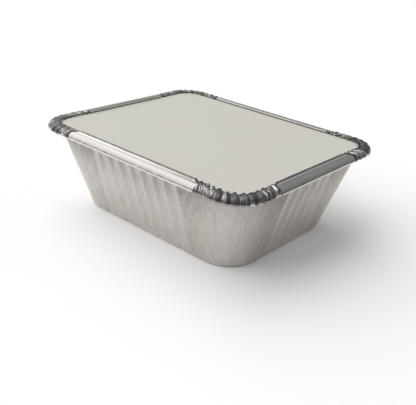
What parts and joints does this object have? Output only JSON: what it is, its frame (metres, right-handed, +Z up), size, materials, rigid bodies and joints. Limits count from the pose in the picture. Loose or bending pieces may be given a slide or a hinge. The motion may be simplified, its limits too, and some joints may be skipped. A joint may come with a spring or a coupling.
{
  "type": "foil food container",
  "caption": "Rectangular tapered foil tray with fluted walls, closed by a flat board lid held under its folded rim with crimped corners.",
  "frame": {"origin": "middle of the underside, in the plane that the container stands on", "axes": "+X along the long sides, +Y along the short sides, +Z up out of the tray"},
  "size_m": [0.145, 0.12, 0.0473],
  "materials": {
    "foil": "satin rolled foil, creased where it is pressed and folded",
    "lid_board": "smooth matt pale grey-white board"
  },
  "bodies": {
    "root": {"foil_tray": "foil", "board_lid": "lid_board"}
  },
  "joints": []
}
